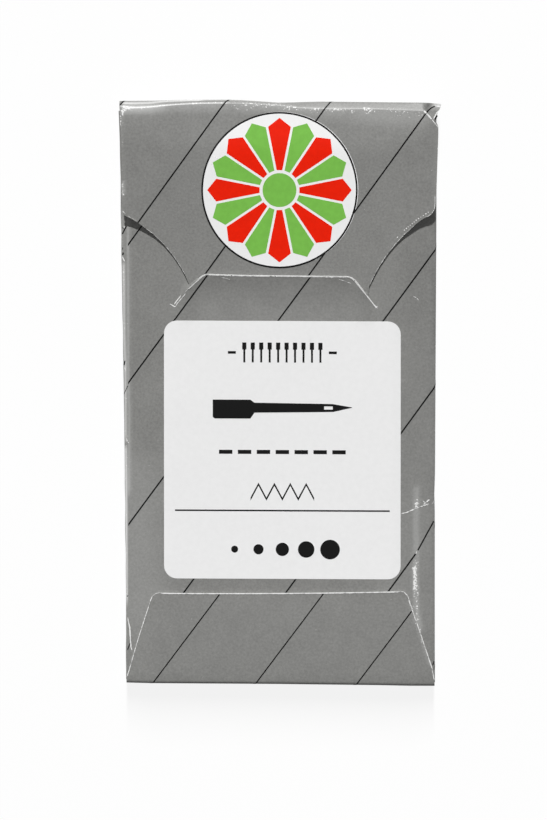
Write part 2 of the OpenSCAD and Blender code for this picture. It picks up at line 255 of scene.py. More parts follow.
# Where the printed pinstripes are worn away, on the sleeve and on the tuck flap: left, right, low, high
WORN_SLEEVE = (
    (-40, -15.3, -30, 30),
    (-15.3, -14.5, -30, -26),
    (13.72, 15.6, -16.4, -13),
    (15.2, 15.6, -28.6, -26.9),
)
WORN_FLAP = ((14.66, 17, 28.2, 40),)

# Row of bare dots beside the right scoop
DOT_LINE = ((12.45, 16.4), (13.63, 17.4), (14.85, 18.2))

# Bare paper along cuts and in cracks: surface, line on the blank, width, raggedness
BARE_LINES = (
    ("sleeve", ((-9.22, 10.58), (-9.87, 9.96), (-10.28, 9.47), (-10.62, 9)), 0.1, 0.3),
    ("sleeve", ((-9.48, 10.05), (-9.92, 9.55), (-10.28, 9.14), (-10.46, 8.84)), 0.06, 0.5),
    ("sleeve", ((-11.08, 9.04), (-10.78, 8.87), (-10.58, 8.75), (-10.42, 8.83)), 0.12, 0.5),
    ("sleeve", ((9.5, 8.9), (9.78, 8.6)), 0.16, 0.5),
    ("sleeve", ((9.55, 8.6), (9.85, 8.82)), 0.08, 0.5),
    ("sleeve", ((4.5, 11.73), (4.9, 11.74)), 0.16, 0.5),
    ("sleeve", ((5.08, 11.7), (5.36, 11.7)), 0.2, 0.5),
    ("sleeve", ((12.2, -12.06), (12.7, -11.98), (13.6, -11.6), (14.75, -11.2), (15.05, -11.1)), 0.11, 0.7),
    ("sleeve", ((13.65, -11.5), (13.72, -11.15), (13.85, -10.95)), 0.16, 0.6),
    ("sleeve", ((14.38, -10.8), (14.62, -11.02), (14.9, -11.3)), 0.09, 0.5),
    ("sleeve", ((14.42, -11.18), (14.75, -11), (14.98, -10.7)), 0.12, 0.6),
    ("sleeve", ((14.9, -10.82), (15.06, -10.68)), 0.24, 0.3),
    ("sleeve", ((15.36, -11.1), (15.55, -10.85)), 0.08, 0.4),
    ("sleeve", ((13.78, -15.88), (13.68, -16.15)), 0.12, 0.6),
    ("sleeve", ((-15.78, 16.78), (-15.62, 16.74)), 0.16, 0.2),
    ("sleeve", ((-15.7, 2.62), (-15.62, 2.4)), 0.12, 0.4),
    ("sleeve", ((13.4, 9.79), (13.72, 9.65), (13.95, 9.42)), 0.07, 0.4),
    ("sleeve", ((-15.92, 13.8), (-15.75, 13.45), (-15.66, 13.3)), 0.12, 0.3),
    ("sleeve", ((5.9, 11.5), (6.5, 11.32), (7.1, 11.1)), 0.05, 0.9),
    ("sleeve", ((-6, 11.7), (-5.4, 11.6), (-5, 11.45)), 0.04, 0.9),
    (
        "sleeve", ((-15.4, -22.6), (-15.15, -23.6), (-15.08, -24.8), (-15.02, -25.6), (-14.9, -25.9)),
        0.12, 0.4,
    ),
    ("sleeve", ((-15.5, -4.5), (-15.42, -4.85), (-15.2, -5)), 0.09, 0.5),
    ("tuck", ((14.6, 28.25), (14.95, 27.9), (15.23, 27.58)), 0.13, 0.4),
    ("tuck", ((15.2, 27.6), (15.6, 27.1), (15.95, 26.66)), 0.04, 0.5),
    ("tuck", ((14.45, 28.4), (14.68, 28.18)), 0.3, 0.4),
    ("tuck", ((15.86, 28.45), (15.74, 28), (15.58, 27.5)), 0.09, 0.3),
    ("tuck", ((15.28, 29.38), (15.65, 29.32), (15.95, 29.18)), 0.12, 0.3),
    ("tuck", ((15.5, 28.95), (15.75, 28.9), (15.92, 28.8)), 0.08, 0.4),
    ("tuck", ((-15.62, 28.76), (-15.2, 28.58)), 0.26, 0.8),
    ("tuck", ((-15.82, 28.45), (-15.78, 27.9)), 0.14, 0.9),
    ("tuck", ((11.74, 15.68), (11.86, 15.78)), 0.14, 0),
    (
        "tuck", ((14.62, 17.76), (14.9, 17.84), (15.24, 18.12), (15.48, 18.5), (15.57, 18.95), (15.57, 19.9)),
        0.045, 0.3,
    ),
    ("tuck", ((-15.82, 18.4), (-15.7, 18.24), (-15.55, 18.1)), 0.07, 0.5),
    ("tuck", ((-15.3, 17.85), (-14.9, 17.65), (-14.4, 17.35)), 0.03, 0.8),
    ("glued", ((12.95, -20.75), (13.25, -21.6), (13.7, -22.9)), 0.08, 0.8),
)

# The knocked-in corner: a place on its crease, the way out from there, and that way's length
CRUSH_PLACE = (14.57, 28.3)
CRUSH_WAY = (1.6, 1.42)
CRUSH_LENGTH = 2.14

# How that corner goes in and out: (distance beyond its crease, shift outwards)
CRUSH_SHIFT = ((0, 0), (0.35, -0.2), (0.9, -0.05), (1.4, 0.42))

# How far each layer of print and of bare paper lies over the sheet
LIFT = SimpleNamespace(
    slip=0.001, stripes=0.002, field=0.006, outline=0.006, bits=0.008, ground=0.012, bare=0.014, marks=0.018,
    petals=0.02,
)


def mm(name, description, default):
    """A length property whose default is given in millimetres."""
    return bpy.props.FloatProperty(
        name=name, description=description, default=default * MM, unit="LENGTH", precision=5, min=0
    )


def degrees(name, description, default):
    """An angle property whose default is given in degrees."""
    return bpy.props.FloatProperty(
        name=name, description=description, default=math.radians(default), subtype="ANGLE"
    )


def amount(name, description, default):
    return bpy.props.FloatProperty(name=name, description=description, default=default)


def number(name, description, default, low, high):
    return bpy.props.IntProperty(name=name, description=description, default=default, min=low, max=high)


def colour(name, description, default):
    return bpy.props.FloatVectorProperty(
        name=name, description=description, default=default, subtype="COLOR", size=3, min=0, max=1
    )


class SheetSettings(bpy.types.PropertyGroup):
    thickness: mm("Thickness", "Height of the front over the needles", 4.3)
    paper: mm("Paper", "Thickness of the coated paper", 0.2)
    fold_radius: mm("Fold radius", "Outer radius of the sharp folds", 0.35)
    brow_drop: mm("Brow drop", "How far the narrow strip along the left fold slopes down", 0.3)
    tuck_drop: mm("Tuck drop", "How far the narrow strip along the tuck fold slopes down", 0.45)
    brow_radius: mm("Brow radius", "Outer radius of the folds beside those strips", 0.12)
    field_width: mm("Field width", "Width of the flat field over the needles", 24)
    side_fall: mm("Side fall", "How far the front falls to the side folds", 1)
    flap_fall: mm("Flap fall", "How far the tuck flap falls to its free sides", 0.25)
    tuck_slope: mm("Tuck slope", "Length of the slope at the tucked end", 4)
    tuck_fall: mm("Tuck fall", "How far the front falls along that slope", 0.4)
    glued_slope: mm("Glued slope", "Length of the slope at the glued end", 7)
    glued_fall: mm("Glued fall", "How far the front falls along that slope", 0.4)
    tab_rise: mm("Tab rise", "How far the tongue lifts the panel at the slit", 0.46)
    tab_length: mm("Tab length", "Length over which the panel settles again", 4.2)
    slit_gap: mm("Slit gap", "How far the slit stands open", 0.05)
    air: mm("Air", "Gap between paper layers", 0.04)
    waviness: mm("Waviness", "Height of the soft waves in the paper", 0.06)
    crush: mm("Crush", "How far the crushed corner is pressed down", 0.7)


class PrintSettings(bpy.types.PropertyGroup):
    ink: mm("Ink", "Thickness given to a layer of print", 0.008)
    stripe_width: mm("Stripe width", "Width of the pinstripes", 0.15)
    glued_stripe: mm("Glued stripe", "Width of the fainter pinstripes on the glued flap", 0.12)
    stripe_pitch: mm("Stripe pitch", "Distance between pinstripes across the packet", 10.4)
    flap_turn: degrees("Flap turn", "How far the pinstripes of the tuck flap turn from the panel's", 0.5)
    glued_turn: degrees(
        "Glued flap turn", "How far the pinstripes of the glued flap turn from the panel's", -0.47
    )
    stripe_angle: degrees("Stripe angle", "Angle of the pinstripes from the crosswise direction", 53.6)
    label_width: mm("Label width", "Width of the white field", 23.8)
    label_height: mm("Label height", "Height of the white field", 25.95)
    label_radius: mm("Label radius", "Corner radius of the white field", 1.3)
    label_skew: degrees("Label skew", "How far the rows of the white field run askew", -0.26)
    rule_length: mm("Rule length", "Length of the rule across the white field", 21.6)
    needle_length: mm("Needle length", "Length of the needle on the white field", 14)
    count: number("Count", "Strokes in the row that counts the needles", 10, 5, 12)
    badge_diameter: mm("Badge diameter", "Diameter of the round badge over its outline", 15.7)
    badge_line: mm("Badge line", "Width of the line round the badge", 0.18)
    petals: number("Petals", "Petals of each colour in the badge", 8, 5, 10)


class WearSettings(bpy.types.PropertyGroup):
    edge: mm("Edge", "Width of the bare paper along cut edges", 0.1)


class ColourSettings(bpy.types.PropertyGroup):
    coat: colour("Coat", "Grey coating of the paper", (0.192, 0.192, 0.184))
    # The core colour is also what the painted highlights on folds and creases lighten towards
    core: colour("Core", "Bare paper at cuts and worn folds", (0.84, 0.84, 0.83))
    white: colour("White", "White field and badge ground", (0.814, 0.814, 0.814))
    black: colour("Black", "Black print", (0.003, 0.003, 0.003))
    red: colour("Red", "Red print", (0.77, 0.013, 0.001))
    green: colour("Green", "Green print", (0.178, 0.462, 0.072))
    floor: colour("Floor", "Floor and backdrop", (0.95, 0.95, 0.95))


class StageSettings(bpy.types.PropertyGroup):
    distance: mm("Camera distance", "Distance of the camera from the front", 450)
    tilt: degrees("Camera tilt", "Tilt of the camera towards the tucked end", 1.5)
    view_height: mm("View height", "Height of the picture at the front of the packet", 82.45)
    key: amount("Key", "Strength of the key light on the packet", 4.2)
    key_height: degrees("Key height", "Height of the key light over the floor", 42)
    key_turn: degrees("Key turn", "How far the key light stands to the left", 7)
    key_size: degrees("Key size", "Angular size of the key light", 2.5)
    strip_power: amount("Strip light", "Power of the long softbox over the floor, in watts", 199)
    strip_height: degrees("Strip height", "Height of the softbox over the floor", 48)
    strip_distance: mm("Strip distance", "Distance of the softbox from the packet", 4000)
    strip_length: mm("Strip length", "Length of the softbox, up and down", 2750)
    strip_width: mm("Strip width", "Width of the softbox", 200)
    fill: amount("Fill", "Strength of the light from all round", 0.1)


GROUPS = {
    "packet_sheet": SheetSettings,
    "packet_print": PrintSettings,
    "packet_wear": WearSettings,
    "packet_colour": ColourSettings,
    "packet_stage": StageSettings,
}


def settings(name):
    """A group of properties, with its lengths in millimetres."""
    group = getattr(bpy.context.scene, name)
    values = {}
    for prop in group.bl_rna.properties:
        if prop.identifier not in ("rna_type", "name"):
            value = getattr(group, prop.identifier)
            values[prop.identifier] = value / MM if getattr(prop, "unit", "") == "LENGTH" else value
    return SimpleNamespace(**values)


# Curves


def mix(a, b, f):
    return a + (b - a) * f


def between(knots, place):
    """Value at a place along a line of (place, value) knots."""
    i = min(max(bisect_right([k[0] for k in knots], place), 1), len(knots) - 1)
    (a, low), (b, high) = knots[i - 1], knots[i]
    return mix(low, high, min(max((place - a) / (b - a), 0), 1))


def ease(f):
    f = min(max(f, 0), 1)
    return f * f * (3 - 2 * f)


def bend(distance, slope, width):
    """Height lost at a distance past a soft bend."""
    if distance <= -width:
        return 0
    if distance >= width:
        return slope * distance
    return slope * (distance + width) ** 2 / (4 * width)


def curve(points, f):
    """Point on a straight wall between two points, or on a fold round the second of three."""
    if len(points) == 2:
        return mix(points[0], points[1], f)
    a, b, c = points
    return a * (1 - f) ** 2 + b * (2 * f * (1 - f)) + c * f * f


def extent(points):
    """Length of paper in a wall or a fold."""
    steps = [curve(points, i / 8) for i in range(9)]
    return sum((b - a).length for a, b in zip(steps, steps[1:]))


def rough(x, y, z):
    """Noise between about -1 and 1, the same at the same place in every run."""
    return noise.noise(Vector((x, y, z)))


def resampled(points, step):
    """Points along a flat line at about equal steps."""
    points = [Vector((x, y, 0)) for x, y in points]
    line = [points[0]]
    for a, b in zip(points, points[1:]):
        count = max(1, round((b - a).length / step))
        line += [mix(a, b, i / count) for i in range(1, count + 1)]
    return line


# The folded form


class Form:
    """Where each flat place of the sheet comes to lie in the folded packet."""

    def __init__(self):
        self.size = settings("packet_sheet")
        self.sections = {}
        self.ends = {}

    def fall(self, x, y, side_fall):
        """How far a sheet has fallen from the flat field."""
        size = self.size
        side = bend(abs(x) - size.field_width / 2, side_fall / SIDE_SLOPE, SIDE_BEND)
        tuck = bend(y + size.tuck_slope - TUCK_STOP, size.tuck_fall / size.tuck_slope, TUCK_BEND)
        glued = bend(size.glued_slope - GLUED_STOP - y, size.glued_fall / size.glued_slope, GLUED_BEND)
        return (side**3 + max(tuck, glued) ** 3) ** (1 / 3)

    def wave(self, x, y):
        """Height of a broad wave with a finer one on it."""
        return self.size.waviness * (rough(x / 11, y / 14, 2.7) + 0.25 * rough(x / 4, y / 5, 8.1))

    def slit_line(self, x):
        """The slit's path, and outside its feet the way that the blank's rows settle again."""
        if x < SLIT[0][0]:
            return mix(SLIT_ROW, SLIT[0][1], 1 - ease((SLIT[0][0] - x) / FEET_SETTLE))
        if x > SLIT[-1][0]:
            return mix(SLIT_ROW, SLIT[-1][1], 1 - ease((x - SLIT[-1][0]) / FEET_SETTLE))
        return between(SLIT, x)

    def tab(self, x, y):
        """How far the tongue lifts the panel below the slit."""
        inside = min(x - SLIT[0][0], SLIT[-1][0] - x)
        depth = self.slit_line(x) - y
        if inside <= 0 or not 0 < depth < self.size.tab_length:
            return 0
        return self.size.tab_rise * ease(inside / TAB_FLANK) * (1 - depth / self.size.tab_length) ** 2

    def front(self, x, y):
        return self.size.thickness - self.fall(x, y, self.size.side_fall) + self.tab(x, y) + self.wave(x, y)

    def flap_top(self, x, y):
        """Height of the tuck flap, whose tongue goes under the panel at the slit."""
        size = self.size
        over = size.thickness + size.paper + size.air - self.fall(x, y, size.flap_fall) + self.wave(x, y)
        inside = min(x - SLIT[0][0], SLIT[-1][0] - x)
        if inside > 0 and y < self.slit_line(x):
            return min(over, self.front(x, y) - size.paper - size.air / 2)
        return over

    def glued_top(self, x, y):
        return self.front(x, y) + self.size.paper + self.size.air / 2

    def section(self, y):
        """Stops across the sleeve's blank, and the shape of the sheet between them."""
        key = round(y, 3)
        if key in self.sections:
            return self.sections[key]
        r, brow = self.size.fold_radius, self.size.brow_radius
        left = between(FRONT_LEFT, y) + CREASE_WAVER * rough(0, y / 2, 5)
        right = between(FRONT_RIGHT, y)
        crest_left = Vector((left, self.front(left, y)))
        crest_right = Vector((right, self.front(right, y)))
        foot_left = Vector((between(BACK_LEFT, y) + FOOT_WAVER * rough(0, y / 2.5, 1), FOOT_LIFT))
        foot_right = Vector((between(BACK_RIGHT, y), 0))
        edge = Vector((foot_left.x, crest_left.y - self.size.brow_drop))
        inner = Vector((foot_left.x + self.size.paper + self.size.air, 0))
        down_left, down_right = (foot_left - edge).normalized(), (foot_right - crest_right).normalized()
        aside = (edge - crest_left).normalized() * brow
        inside = Vector((r, 0))
        start = Vector((left + brow, self.front(left + brow, y)))
        end = Vector((right - r, self.front(right - r, y)))
        shapes = [
            (foot_left, edge + down_left * brow),
            (edge + down_left * brow, edge, edge - aside),
            (edge - aside, crest_left + aside),
            (crest_left + aside, crest_left, start),
            None,
            (end, crest_right, crest_right + down_right * r),
            (crest_right + down_right * r, foot_right - down_right * r),
            (foot_right - down_right * r, foot_right, foot_right - inside),
            (foot_right - inside, inner + inside),
            (inner + inside, inner, inner - down_left * r),
            (inner - down_left * r, inner - down_left * (r + LINING)),
        ]
        lengths = [extent(shape) if shape else end.x - start.x for shape in shapes]
        stops = [start.x - sum(lengths[:FRONT_PART])]
        for length in lengths:
            stops.append(stops[-1] + length)
        self.sections[key] = stops, shapes
        return self.sections[key]

    def end_section(self, end, x):
        """Stops along an end flap's blank beyond the front, and the sheet's shape between them."""
        key = end, round(x, 3)
        if key in self.ends:
            return self.ends[key]
        r = self.size.fold_radius
        if end > 0:
            top, crease, foot, join = self.flap_top, TUCK_CREASE, TUCK_FOOT, TUCK_JOIN
        else:
            top, crease, foot, join = self.glued_top, GLUED_CREASE, GLUED_FOOT, GLUED_JOIN
        crest = between(crease, x)
        crest = Vector((crest, top(x, end * crest)))
        base = Vector((between(foot, x), 0))
        shapes = []
        back, edge = r, crest
        if end > 0:
            back, edge = self.size.brow_radius, Vector((base.x, crest.y - self.size.tuck_drop))
            aside = (edge - crest).normalized() * back
            shapes = [(crest + aside, edge - aside), (edge - aside, edge, edge - Vector((0, back)))]
        down = (base - edge).normalized()
        flap_end = Vector((crest.x - back, top(x, end * (crest.x - back))))
        inside = Vector((r, 0))
        shapes = [
            (flap_end, crest, shapes[0][0] if shapes else crest + down * r),
            *shapes,
            (edge + down * back, base - down * r),
            (base - down * r, base, base - inside),
            (base - inside, Vector((join, 0))),
        ]
        stops = [flap_end.x]
        for shape in shapes:
            stops.append(stops[-1] + extent(shape))
        self.ends[key] = stops, shapes
        return self.ends[key]

    def crushed(self, point):
        """The corner at the tuck fold that was knocked in."""
        (across, along), (way_x, way_y) = CRUSH_PLACE, CRUSH_WAY
        beyond = ((point.x - across) * way_x + (point.y - along) * way_y) / CRUSH_LENGTH
        beyond = min(beyond, (point.x - 14.5) * 1.6)
        if beyond <= 0 or point.y < END_ROWS:
            return point
        low = 1 - self.size.crush / self.size.thickness * min(beyond / 1.4, 1)
        out = between(CRUSH_SHIFT, beyond) * point.z / self.size.thickness * ease((point.x - 14.6) / 1.2)
        return Vector((point.x + out, point.y + 0.3 * max(out, 0), point.z * low))

    def sleeve(self, s, y):
        stops, shapes = self.section(y)
        i = min(max(bisect_right(stops, s) - 1, 0), len(shapes) - 1)
        if shapes[i] is None:
            return self.crushed(Vector((s, y, self.front(s, y))))
        x, z = curve(shapes[i], (s - stops[i]) / (stops[i + 1] - stops[i]))
        return self.crushed(Vector((x, y, z)))

    def end_flap(self, end, x, v):
        stops, shapes = self.end_section(end, x)
        if v * end <= stops[0]:
            top = self.flap_top if end > 0 else self.glued_top
            return self.crushed(Vector((x, v, top(x, v))))
        i = min(bisect_right(stops, v * end) - 1, len(shapes) - 1)
        out, z = curve(shapes[i], (v * end - stops[i]) / (stops[i + 1] - stops[i]))
        return self.crushed(Vector((x, end * out, z)))

    def tuck(self, x, v):
        return self.end_flap(1, x, v)

    def glued(self, x, v):
        return self.end_flap(-1, x, v)

    def lifted(self, surface, x, y, lift):
        """A point of a folded surface, or over it by lift; no step is taken over the slit."""
        point = surface(x, y)
        if not lift:
            return point
        step = 0.02
        side = 1 if y > self.slit_line(x) else -1
        across = surface(x + step, y) - point
        along = (surface(x, y + step * side) - point) * side
        return point + across.cross(along).normalized() * lift

    def flap_side(self, scoop, edge, v):
        """Where a row of the tuck flap ends on one side."""
        across, along, radius, shoulder = scoop
        side = -1 if across < 0 else 1
        if v >= shoulder:
            return between(edge, v)
        scooped = across - side * math.sqrt(radius**2 - (max(v, TONGUE_NECK) - along) ** 2)
        return scooped - side * 0.5 * max(0, TONGUE_ROUND - v) ** 2

    def back_field(self, y):
        """The flat part of the back between its folds."""
        _, shapes = self.section(y)
        right, left = shapes[BACK_PART]
        return left.x, right.x


# Blanks


def grid(bm, across, along, place):
    """A grid whose corners are put where place(column, row) says."""
    made = bmesh.ops.create_grid(bm, x_segments=across, y_segments=along, size=1)
    for vert in made["verts"]:
        column, row = round((vert.co.x + 1) / 2 * across), round((vert.co.y + 1) / 2 * along)
        vert.co = (*place(column, row), 0)


def distance(point, line):
    """Distance of a flat point from a line of points."""
    best = math.inf
    for a, b in zip(line, line[1:]):
        a, b = Vector(a), Vector(b)
        along = (point - a).dot(b - a) / (b - a).length_squared
        best = min(best, (point - mix(a, b, min(max(along, 0), 1))).length)
    return best


def with_wear_and_painted_light(bm, wear_and_light):
    """Marks, at each place of a blank, the bare specks of worn coating and the painted highlight and painted
    shade laid into its colour.
    """
    wear, rub = bm.verts.layers.float.new("wear"), bm.verts.layers.float.new("rub")
    for vert in bm.verts:
        point = vert.co.xy
        for line, radius, specks, soft in wear_and_light:
            near = math.exp(-((distance(point, line) / radius) ** 2))
            vert[wear] += specks * near
            vert[rub] += soft * near
    return bm


def spread(counts):
    """(part, fraction) of each column of a blank whose parts have these numbers of faces."""
    columns = [(part, i / count) for part, count in enumerate(counts) for i in range(count)]
    return columns + [(len(counts) - 1, 1.0)]


def sleeve_blank(form):
    """The front, walls and back, with the slit cut in."""
    columns = spread(SLEEVE_FACES)
    rows = [
        *(-GLUED_JOIN + 0.5 * i for i in range(82)),
        *(SLIT_ROW + (TUCK_JOIN - SLIT_ROW) * i / 33 for i in range(1, 34)),
    ]

    def place(column, row):
        part, f = columns[column]
        y = rows[row]
        stops, _ = form.section(y)
        s = mix(stops[part], stops[part + 1], f)
        if part == FRONT_PART:
            y += (form.slit_line(s) - SLIT_ROW) * max(0, 1 - abs(y - SLIT_ROW) / ROW_SETTLE)
        if part <= RIGHT_WALL_PART:
            near = min(max(s, CREASE_ENDS[0]), CREASE_ENDS[1])
            for end, crease, join in ((1, TUCK_CREASE, TUCK_JOIN), (-1, GLUED_CREASE, GLUED_JOIN)):
                share = max(0, (end * rows[row] - END_ROWS) / (join - END_ROWS))
                y += end * (between(crease, near) - END_GAP - join) * share
        stops, _ = form.section(y)
        return mix(stops[part], stops[part + 1], f), y

    bm = bmesh.new()
    grid(bm, len(columns) - 1, len(rows) - 1, place)

    def on_slit(vert):
        x, y = vert.co.xy
        return SLIT[0][0] - 0.1 < x < SLIT[-1][0] + 0.1 and abs(y - form.slit_line(x)) < 0.01

    bmesh.ops.split_edges(bm, edges=[e for e in bm.edges if all(on_slit(v) for v in e.verts)])
    for vert in bm.verts:
        if on_slit(vert) and len(vert.link_faces) == 2:
            above = all(face.calc_center_median().y > form.slit_line(vert.co.x) for face in vert.link_faces)
            vert.co.y += form.size.slit_gap * (1 if above else -0.2)
    return bm


def beyond_front(form, end, part, g, f):
    """A place on an end flap's blank past the front: part and fraction along it, fraction across."""
    wall, last, join = (3, -1, TUCK_JOIN) if end > 0 else (1, 0, -GLUED_JOIN)
    left, right = (FLAP_LEFT, FLAP_RIGHT) if end > 0 else (GLUED_LEFT, GLUED_RIGHT)
    down = min(max(part - wall + g, 0), 1)
    left, right = mix(left[-1][1], BACK_LEFT[last][1], down), mix(right[-1][1], BACK_RIGHT[last][1], down)
    if part > wall:
        field = form.back_field(join)
        narrow = g**3 if part == wall + 1 else 1
        left, right = mix(left, field[0], narrow), mix(right, field[1], narrow)
    x = mix(left, right, f)
    stops, _ = form.end_section(end, x)
    return x, end * mix(stops[part], stops[part + 1], g)


def tuck_blank(form):
    """The tongue, the flap and the wall at the tuck fold."""
    rows = [
        *(TONGUE_FOOT + 0.4 * i for i in range(8)),
        *(TONGUE_NECK + 0.25 * i for i in range(34)),
        *(19.2 + 0.46 * i for i in range(20)),
    ]
    folds = spread(TUCK_FACES)

    def place(column, row):
        f = column / FLAP_FACES
        if row >= len(rows):
            return beyond_front(form, 1, *folds[row - len(rows)], f)
        v = rows[row]
        left = form.flap_side(LEFT_SCOOP, FLAP_LEFT, v)
        return mix(left, form.flap_side(RIGHT_SCOOP, FLAP_RIGHT, v), f), v

    bm = bmesh.new()
    grid(bm, FLAP_FACES, len(rows) + len(folds) - 1, place)
    edges = {e for f in corner_faces(bm) for e in f.edges}
    bmesh.ops.subdivide_edges(bm, edges=list(edges), cuts=2, use_grid_fill=True)
    for way in (CRUSH_WAY, (1.42, -1.2)):
        faces = corner_faces(bm)
        edges = {e for f in faces for e in f.edges}
        verts = {v for f in faces for v in f.verts}
        corner = [*verts, *edges, *faces]
        bmesh.ops.bisect_plane(bm, geom=corner, dist=1e-4, plane_co=(*CRUSH_PLACE, 0), plane_no=(*way, 0))
    return bm


def corner_faces(bm):
    """Faces round the knocked-in corner."""
    return {f for v in bm.verts if v.co.x > 13.4 and v.co.y > 26 for f in v.link_faces}


def glued_blank(form):
    """The glued flap and the wall at its fold."""
    rows = [GLUED_TOP + 0.12 * i for i in range(8)] + [21 + 0.48 * i for i in range(16)]
    folds = spread(GLUED_FACES)
    count = len(rows) + len(folds) - 1

    def place(column, row):
        f, row = column / FLAP_FACES, count - row
        if row >= len(rows):
            return beyond_front(form, -1, *folds[row - len(rows)], f)
        v = rows[row]
        x = mix(between(GLUED_LEFT, v), between(GLUED_RIGHT, v), f)
        return x, glued_row(x, v)

    bm = bmesh.new()
    grid(bm, FLAP_FACES, count, place)
    return bm


def glued_row(x, v):
    """Where a row of the glued flap lies; its free edge runs slightly askew and bowed."""
    return (0.006 * x + 0.0006 * x * x) * (28.2 - v) / 8 - v


def cut(bm, place, way, **clear):
    """Cuts a flat blank through a place, square to a way."""
    whole = [*bm.verts, *bm.edges, *bm.faces]
    bmesh.ops.bisect_plane(
        bm, geom=whole, dist=1e-5, plane_co=(place[0], place[1], 0), plane_no=(way[0], way[1], 0), **clear
    )


def trim(bm, outline):
    """Keeps what lies inside a convex outline, given anticlockwise."""
    for a, b in zip(outline, outline[1:] + outline[:1]):
        side = Vector(b) - Vector(a)
        cut(bm, a, (side.y, -side.x), clear_outer=True)


def folded(form, bm, surface, lift=0.0):
    """Folds a flat blank up, in metres."""
    for vert in bm.verts:
        vert.co = form.lifted(surface, vert.co.x, vert.co.y, lift) * MM
    return bm


def joined(parts):
    """One mesh of several, which are used up."""
    first, *others = parts
    for part in others:
        mesh = bpy.data.meshes.new("part")
        part.to_mesh(mesh)
        part.free()
        first.from_mesh(mesh)
        bpy.data.meshes.remove(mesh)
    return first


def piece(bm, name, node, finishes, thickness, inwards=False):
    """Makes a thin piece of a mesh, riding on the packet in place of a CAD node."""
    mesh = bpy.data.meshes.new(name)
    bm.to_mesh(mesh)
    bm.free()
    for finish in finishes:
        mesh.materials.append(finish)
    for face in mesh.polygons:
        face.use_smooth = True
    made = bpy.data.objects.new(name, mesh)
    bpy.context.scene.collection.objects.link(made)
    wall = made.modifiers.new("Thickness", "SOLIDIFY")
    wall.thickness = thickness * MM
    wall.offset = -1 if inwards else 1
    wall.material_offset_rim = len(finishes) - 1
    solid = bpy.data.meshes.new_from_object(made.evaluated_get(bpy.context.evaluated_depsgraph_get()))
    made.modifiers.clear()
    made.data = solid
    solid.name = name
    solid.set_sharp_from_angle(angle=math.radians(40))
    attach(made, BODY)
    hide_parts(node)
    return made


# Finishes


class Finish:
    """A material under construction."""

    def __init__(self, name):
        self.material = bpy.data.materials.new(name)
        self.material.use_nodes = True
        self.tree = self.material.node_tree
        self.shader = self.tree.nodes["Principled BSDF"]
        self.place = self.node("ShaderNodeTexCoord").outputs["Object"]

    def node(self, kind, settings=None, **inputs):
        made = self.tree.nodes.new(kind)
        for key, value in (settings or {}).items():
            setattr(made, key, value)
        for key, value in inputs.items():
            numbered = key[0] == "i" and key[1:].isdigit()
            self.put(made.inputs[int(key[1:]) if numbered else key.replace("_", " ")], value)
        return made

    def put(self, socket, value):
        if isinstance(value, bpy.types.NodeSocket):
            self.tree.links.new(value, socket)
        else:
            socket.default_value = value

    def noise(self, scale, detail=2.0, roughness=0.5):
        sizes = {"Scale": scale, "Detail": detail, "Roughness": roughness}
        return self.node("ShaderNodeTexNoise", Vector=self.place, **sizes).outputs["Fac"]

    def math(self, operation, a, b=0.0, clamp=False):
        made = self.node("ShaderNodeMath", {"operation": operation, "use_clamp": clamp}, i0=a, i1=b)
        return made.outputs[0]

    def ramp(self, value, low, high, to_low=0.0, to_high=1.0):
        made = self.node(
            "ShaderNodeMapRange", Value=value, From_Min=low, From_Max=high, To_Min=to_low, To_Max=to_high
        )
        return made.outputs["Result"]

    def blend(self, factor, a, b):
        made = self.node("ShaderNodeMix", {"data_type": "RGBA"})
        self.put(made.inputs[0], factor)
        for socket, value in ((made.inputs[6], a), (made.inputs[7], b)):
            self.put(socket, value if isinstance(value, bpy.types.NodeSocket) else (*value, 1))
        return made.outputs[2]

    def bump(self, height, strength, distance):
        made = self.node("ShaderNodeBump", Height=height, Strength=strength, Distance=distance)
        self.put(self.shader.inputs["Normal"], made.outputs[0])


def tinted(base, factor):
    return [min(1, channel * factor) for channel in base]


def coated_paper():
    """Grey satin coating that has worn through along the folds, with painted highlights and painted shade
    laid into its colour.
    """
    colours = settings("packet_colour")
    finish = Finish("Coated paper")
    mottle, cloud, flake = finish.noise(4200, 4, 0.7), finish.noise(420, 2), finish.noise(5200, 2, 0.6)
    shade = finish.math("ADD", finish.math("MULTIPLY", mottle, 0.8), finish.math("MULTIPLY", cloud, 0.2))
    coat = finish.blend(finish.ramp(shade, 0.33, 0.67), tinted(colours.coat, 0.8), tinted(colours.coat, 1.2))
    wear = finish.node("ShaderNodeAttribute", {"attribute_name": "wear"}).outputs["Fac"]
    rub = finish.node("ShaderNodeAttribute", {"attribute_name": "rub"}).outputs["Fac"]
    # Negative values darken the coating towards black: painted shade on faces turned away from the light
    coat = finish.blend(finish.ramp(rub, -1, 0), tinted(colours.coat, 0), coat)
    # Positive values lighten it towards the core: painted highlight and sheen on folds, creases and lit
    # sides, with some scuffed coating
    rubbed_and_highlighted = finish.blend(finish.math("MULTIPLY", rub, 0.6, clamp=True), coat, tinted(colours.core, 0.8))
    # Bare specks of worn coating, which along the tuck fold and the right crease also stand in for glints
    bare = finish.ramp(finish.math("ADD", finish.math("MULTIPLY", wear, 0.5), flake), 0.76, 0.84)
    finish.put(finish.shader.inputs["Base Color"], finish.blend(bare, rubbed_and_highlighted, colours.core))
    finish.put(finish.shader.inputs["Roughness"], finish.ramp(bare, 0, 1, 0.42, 0.7))
    finish.shader.inputs["Specular IOR Level"].default_value = 0.4
    finish.bump(finish.math("ADD", mottle, finish.math("MULTIPLY", bare, 0.6)), 0.12, 0.00003)
    return finish.material


